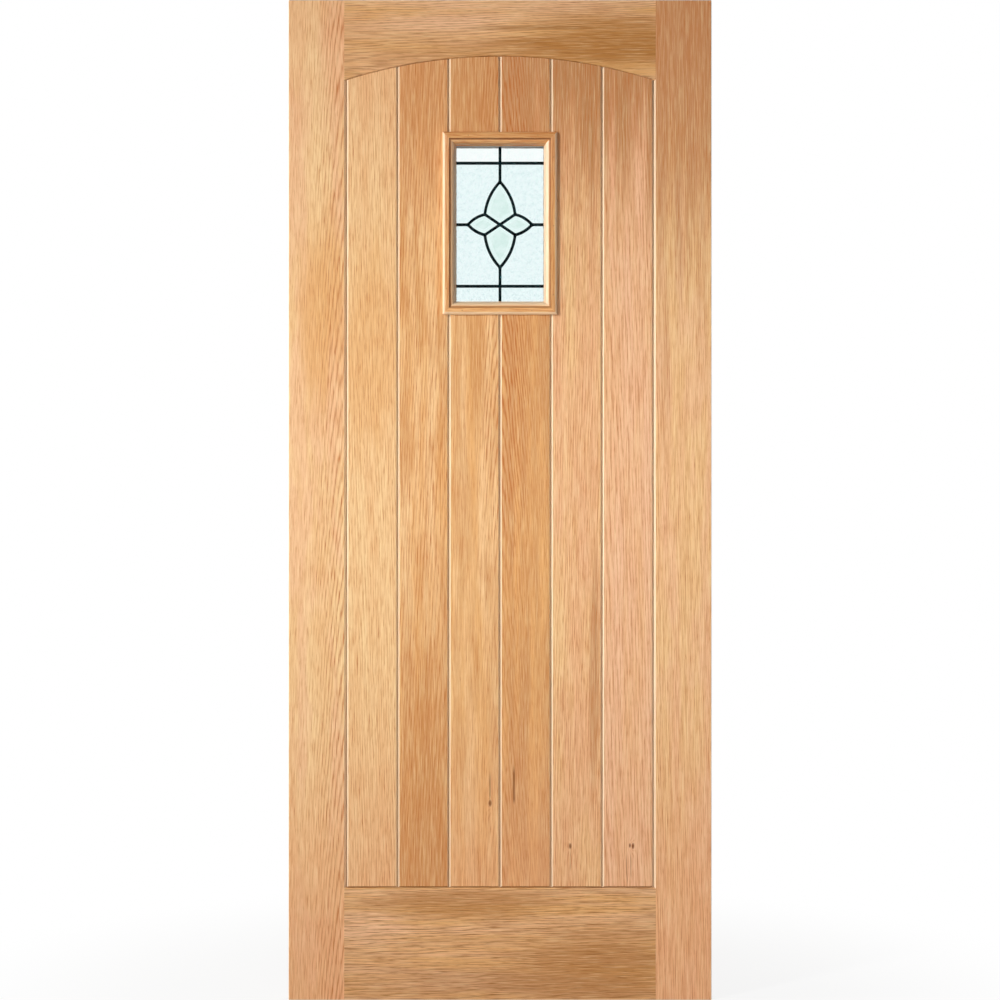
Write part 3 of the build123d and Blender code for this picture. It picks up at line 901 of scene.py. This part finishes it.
# %% [markdown]
# ## The leaded light: border and solder
#
# The border is a wide flat strip on each face with a web between them. Each of the three is a ring:
# a grid of one face gets an inset, and the face left in the middle is taken out before the ring
# gets its thickness. Solder runs together in a flat dome where cames meet, so a ball pressed flat
# stands for it, sunk a little into the lead.

# %% Border and solder
SOLDER_HALF, SOLDER_RISE, SOLDER_SUNK = 3.8, 0.7, 0.3    # half its width, its height, its sinking
DOME_AROUND, DOME_UP = 16, 8                             # faces round a dome and over it


def border_ring(width, near, far):
    """A flat ring round the panel, between two depths."""
    shape = bmesh.new()
    bmesh.ops.create_grid(shape, x_segments=1, y_segments=1, size=1)
    bmesh.ops.scale(shape, vec=(PANEL_HALF_WIDTH, PANEL_HALF_HEIGHT, 1), verts=shape.verts)
    bmesh.ops.rotate(shape, verts=shape.verts, cent=(0, 0, 0), matrix=UPRIGHT)
    opening = shape.faces[:]
    bmesh.ops.inset_region(
        shape, faces=opening, thickness=width, use_boundary=True, use_even_offset=True,
    )
    bmesh.ops.delete(shape, geom=opening, context="FACES")
    bmesh.ops.translate(shape, vec=(0, near, 0), verts=shape.verts)
    flat = shape.verts[:] + shape.edges[:] + shape.faces[:]
    bmesh.ops.solidify(shape, geom=flat, thickness=far - near)
    print("border ring, depths:", sorted({round(corner.co.y, 3) for corner in shape.verts}))
    return shape


def solder_dome(at, face):
    """A flat dome of solder over a meeting of cames."""
    shape = bmesh.new()
    bmesh.ops.create_uvsphere(shape, u_segments=DOME_AROUND, v_segments=DOME_UP, radius=1)
    bmesh.ops.scale(shape, vec=(SOLDER_HALF, SOLDER_HALF, SOLDER_RISE), verts=shape.verts)
    bmesh.ops.rotate(shape, verts=shape.verts, cent=(0, 0, 0), matrix=UPRIGHT)
    place = (at[0], face * (CAME_DEPTH - SOLDER_SUNK), at[1])
    bmesh.ops.translate(shape, vec=place, verts=shape.verts)
    return shape


def joined(shapes):
    """Several bmeshes in one."""
    together = bmesh.new()
    for shape in shapes:
        mesh = bpy.data.meshes.new("part")
        shape.to_mesh(mesh)
        shape.free()
        together.from_mesh(mesh)
        bpy.data.meshes.remove(mesh)
    return together


print("solder stands", round(SOLDER_RISE - SOLDER_SUNK, 1), "mm over the lead")

# %% [markdown]
# ## The leaded light: the net
#
# All the cames and the solder are one piece of metal, so they become one object. The lead is
# painted nearly black: its own dull grey darkened as painted shade for strips seen against
# daylight, with a cool bloom where it has weathered.

# %% The net of lead
HEART_OVERLAP = 0.2          # the web of the border runs this far into its flanges
BLOOM_SIZE = (5, 5)
LEAD_SHEEN, BLOOM_DULL = 0.4, 0.3    # roughness of the lead, and what the bloom adds to it

lead = Paint("lead", specular_ior_level=0.02)
bloom = lead.noise(*BLOOM_SIZE, 2, detail=4.0)
# nearly black: the lead's grey darkened as painted shade of strips seen against daylight
lead.set("Base Color", lead.mix(bloom.ramp(*SOFT_TURN), tone(0, 18, 21), tone(12, 34, 38)))
lead.set("Roughness", LEAD_SHEEN + BLOOM_DULL * bloom)
lead.relief(bloom, 0.0002)

net = [came_tube(start, end) for start, end in straight_cames]
net += [came_tube(start, end, bulge) for start, end, bulge in curved_cames]
net += [border_ring(BORDER_WIDTH, face * CHANNEL_HALF, face * CAME_DEPTH) for face in (-1, 1)]
web_end = CHANNEL_HALF + HEART_OVERLAP
net.append(border_ring(2 * HEART_HALF, -web_end, web_end))
net += [solder_dome(at, face) for at in meetings for face in (-1, 1)]
net = joined(net)
bmesh.ops.translate(net, vec=(0, 0, WINDOW_MIDDLE), verts=net.verts)
finished("rounded_cames", net, lead, ["lead_cames"])

# %% [markdown]
# ## The leaded light: glass
#
# The outer fields are rolled glass with a fine stipple that spreads the daylight, so they look pale
# blue and slightly uneven. The top border is clearer. The petals are bevelled pieces: flat and
# greener in the middle, with a sloping band round the edge that is painted paler, a painted
# highlight for the light that it catches. Plain float glass closes the unit on both sides. A
# stipple this fine would take millions of faces, so it is a bump, while the bevels are real slopes
# of the part, and the direction that they face gives them their painted highlight.

# %% Glass
STIPPLE_SIZE = (3.2, 3.2)
BEVEL_SLOPE = (0.974, 0.996)      # how squarely a bevel and the flat beside it face the front


def glass(name, low, high, roughness, ripple=0.0, mottle=(6, 6), seed=0, bevel=None, **finish):
    """Glass whose tint drifts between two tones, with a stippled face or a bevel with a painted
    highlight.
    """
    paint = Paint(
        name, transmission_weight=1.0, specular_ior_level=0.12, roughness=roughness, **finish,
    )
    drift = paint.noise(*mottle, seed, detail=3.0, roughness=0.6)
    tint = paint.mix(drift.ramp(0.36, 0.64), low, high)
    if ripple:
        stipple = paint.noise(*STIPPLE_SIZE, seed + 1)
        paint.relief(stipple, ripple)
        tint = paint.mix(stipple.ramp(0.35, 0.6), tint, high)
    # painted highlight: the sloping band of a bevel gets the paler tint
    if bevel:
        slope = 1 - abs(paint.facing()[1]).ramp(*BEVEL_SLOPE)
        tint = paint.mix(slope, tint, bevel)
    paint.set("Base Color", tint)
    return paint


clear = glass("clear_glass", tone(254, 255, 255), tone(252, 255, 254), 0.0, ior=1.15)
stippled = glass(
    "stippled_glass", tone(220, 238, 240), tone(240, 251, 252), 0.12, 0.0004, (9, 9), seed=3,
)
border = glass(
    "border_glass", tone(244, 252, 252), tone(253, 255, 255), 0.1, 0.0002, (12, 12), seed=9,
)
bevelled = glass(
    "bevelled_glass", tone(217, 239, 234), tone(228, 245, 242), 0.02, mottle=(14, 14), seed=5,
    # the paler tint of the painted highlight on the bevels
    bevel=tone(238, 252, 251),
)
for name, part in nodes.items():
    if name.endswith("_pane"):
        paint_part(part, clear)
    elif name.startswith("bevel_"):
        paint_part(part, bevelled)
    elif name.startswith("upper") and name.endswith("border_light"):
        paint_part(part, border)
    elif name.endswith("_light"):
        paint_part(part, stippled)
print("lights:", [name for name in nodes if name.endswith("_light")])

# %% [markdown]
# ## Parts inside the leaf
#
# Most of these never show, but the edges of the leaf, the gap round the glass and a look from below
# reach some of them, and each is painted as what it is: a plain stuff with a fine mottle of two
# tones, which is enough for surfaces of a few millimetres.

# %% Inner finishes
def plain(name, first, second, size, roughness, relief=0.0, seed=0, **finish):
    """A plain stuff with a fine mottle of two tones."""
    paint = Paint(name, roughness=roughness, **finish)
    mottle = paint.noise(*size, seed, detail=4.0)
    paint.set("Base Color", paint.mix(mottle.ramp(*SOFT_TURN), first, second))
    if relief:
        paint.relief(mottle, relief)
    return paint


inner_finishes = {
    "spacer": plain("spacer_bar", tone(222, 228, 230), tone(206, 214, 218), (3, 3), 0.45),
    "edge_seal": plain("edge_seal", tone(52, 54, 56), tone(70, 72, 74), (4, 4), 0.7, 0.0002),
    "glazing_tape": plain(
        "glazing_tape", tone(236, 236, 232), tone(222, 222, 216), (1.2, 1.2), 0.8, 0.0001,
    ),
    "setting_blocks": plain("block_plastic", tone(70, 96, 140), tone(60, 84, 126), (8, 8), 0.4),
    "core_panel": plain(
        "foam_core", tone(232, 222, 196), tone(214, 200, 170), (1.5, 1.5), 0.9, 0.0003,
    ),
    "dowels": plain("beech_dowels", tone(220, 180, 140), tone(196, 150, 108), (20, 2), 0.6),
    "trimmer": plain("softwood_trimmers", tone(234, 204, 156), tone(206, 166, 112), (4, 80), 0.6),
    "pins": plain(
        "steel_pins", tone(150, 150, 152), tone(110, 110, 112), (1, 1), 0.35, metallic=1.0,
    ),
}
for name, part in nodes.items():
    for ending, paint in inner_finishes.items():
        if name.endswith(ending):
            paint_part(part, paint)
print("inner finishes:", len(inner_finishes))

# %% [markdown]
# ## The floor
#
# A picture for a catalogue shows the door on white. This floor takes the light and the shadow of
# the door, but the camera gets most of its brightness from a plain glow, so that the shadow stays
# faint. Further away the glow takes over, and the floor and the background become one. A brighter
# lamp would whiten the floor too, but it would bleach the oak.

# %% White floor
FLOOR_HALF, FLOOR_DROP = 30, 0.0005       # metres: half its width, and how far under the door
GLOW_BELOW_DOOR = 0.86                    # the share of glow at the foot of the door
GLOW_ALONE = (450, 1300)                  # millimetres from the door over which it becomes 1

floor_shape = bmesh.new()
bmesh.ops.create_grid(floor_shape, x_segments=1, y_segments=1, size=FLOOR_HALF)
bmesh.ops.translate(floor_shape, vec=(0, 0, -FLOOR_DROP), verts=floor_shape.verts)
floor = bpy.data.objects.new("floor", bpy.data.meshes.new("floor"))
floor_shape.to_mesh(floor.data)
floor_shape.free()
bpy.context.scene.collection.objects.link(floor)

white = Paint("white_floor", roughness=0.9, base_color=tone(216, 215, 212))
away = (white.x ** 2 + white.y ** 2) ** 0.5
glow_share = GLOW_BELOW_DOOR + (1 - GLOW_BELOW_DOOR) * away.ramp(*GLOW_ALONE)
share = white.seen() * glow_share
glow = white.node("ShaderNodeEmission")
surface = Value(white, white.shader.outputs["BSDF"])
blend = white.node("ShaderNodeMixShader", None, {0: share, 1: surface, 2: glow})
white.feed(white.nodes["Material Output"].inputs["Surface"], blend)
paint_part(floor, white)
print("floor:", 2 * FLOOR_HALF, "m square")

# %% [markdown]
# ## The light
#
# The world is a dim white room, but the camera and the glass see it as plain white, and a gloss
# sees a little of that white. A lamp far out on the left rakes across the front with a narrow beam,
# which leaves the top and the foot of the door a little darker, and the mouldings show their
# curves. A soft lamp in front lifts the middle of the door, and one lamp lights the back. A tall
# strip on the left, almost level with the front, brightens one side of each joint between the
# boards and leaves the other side dark, because it meets the flat of the boards at a low angle.

# %% World and lamps
ROOM_LIGHT, ROOM_IN_GLOSS = 0.16, 0.08

world = bpy.data.worlds.new("studio")
bpy.context.scene.world = world
room = Tree(world)
background = room.nodes["Background"]
room.feed(background.inputs["Color"], (1, 1, 1, 1))
brightness = ROOM_LIGHT + (1 - ROOM_LIGHT) * room.seen(in_gloss=ROOM_IN_GLOSS)
room.feed(background.inputs["Strength"], brightness)


def lamp(name, azimuth, elevation, distance, width, height, power, spread=180, target=(0, 0, 1.0)):
    """A soft rectangular lamp aimed at the door. Azimuth 0 is in front, negative is to the left."""
    turn, climb = math.radians(azimuth), math.radians(elevation)
    reach = math.cos(climb)
    away = Vector((math.sin(turn) * reach, -math.cos(turn) * reach, math.sin(climb)))
    data = bpy.data.lights.new(name, "AREA")
    data.shape = "RECTANGLE"
    data.size, data.size_y, data.energy = width, height, power
    data.spread = math.radians(spread)
    made = bpy.data.objects.new(name, data)
    made.location = Vector(target) + away * distance
    made.rotation_euler = (-away).to_track_quat("-Z", "Y").to_euler()
    made.visible_camera = False
    bpy.context.scene.collection.objects.link(made)
    return made


lamp("key", -50, 22, 8.0, 0.8, 0.8, 23.8, spread=42, target=(0.9, 0, 1.05))
front = lamp("front_fill", -12, 0, 1.4, 1.2, 0.4, 6.2)
lamp("side_strip", -84, 4, 3.0, 0.5, 2.2, 48)
back = lamp("back_fill", 160, 15, 4.5, 2.0, 2.0, 130)
for unseen in (front, back):
    unseen.visible_glossy = unseen.visible_transmission = False
print("lamps:", [found.name for found in bpy.data.lights])

# %% [markdown]
# ## The camera
#
# The picture is taken square on, from half the height of the door, and the door fills it from edge
# to edge. A lens is set by its field of view: at the distance of the door's face the picture has to
# be just as high as the leaf. That ties the focal length to the distance, and a distance of some
# four metres shows the depth of the window as it is seen in the picture.

# %% Camera
FRONT_FACE = -LEAF_FACE * MM
PICTURE_HEIGHT = 1.981       # metres of the door from the bottom to the top of the picture
CAMERA_DISTANCE = 4.2
SENSOR = 36.0

data = bpy.data.cameras.new("camera")
data.sensor_width = SENSOR
data.lens = SENSOR * CAMERA_DISTANCE / PICTURE_HEIGHT
camera = bpy.data.objects.new("camera", data)
camera.location = (0, FRONT_FACE - CAMERA_DISTANCE, PICTURE_HEIGHT / 2)
camera.rotation_euler = (math.pi / 2, 0, 0)
bpy.context.scene.collection.objects.link(camera)
bpy.context.scene.camera = camera
bpy.context.scene.view_settings.view_transform = "Standard"
print("lens:", round(data.lens, 1), "mm")

# %% [markdown]
# ## The last look at the sizes
#
# The meshes that took the place of parts must not reach past the leaf, because whoever uses the
# door goes by the box of its solid parts. The box of the frame, measured at the start, is printed.

# %% Sizes and finish
print("cad box:", cad_box)
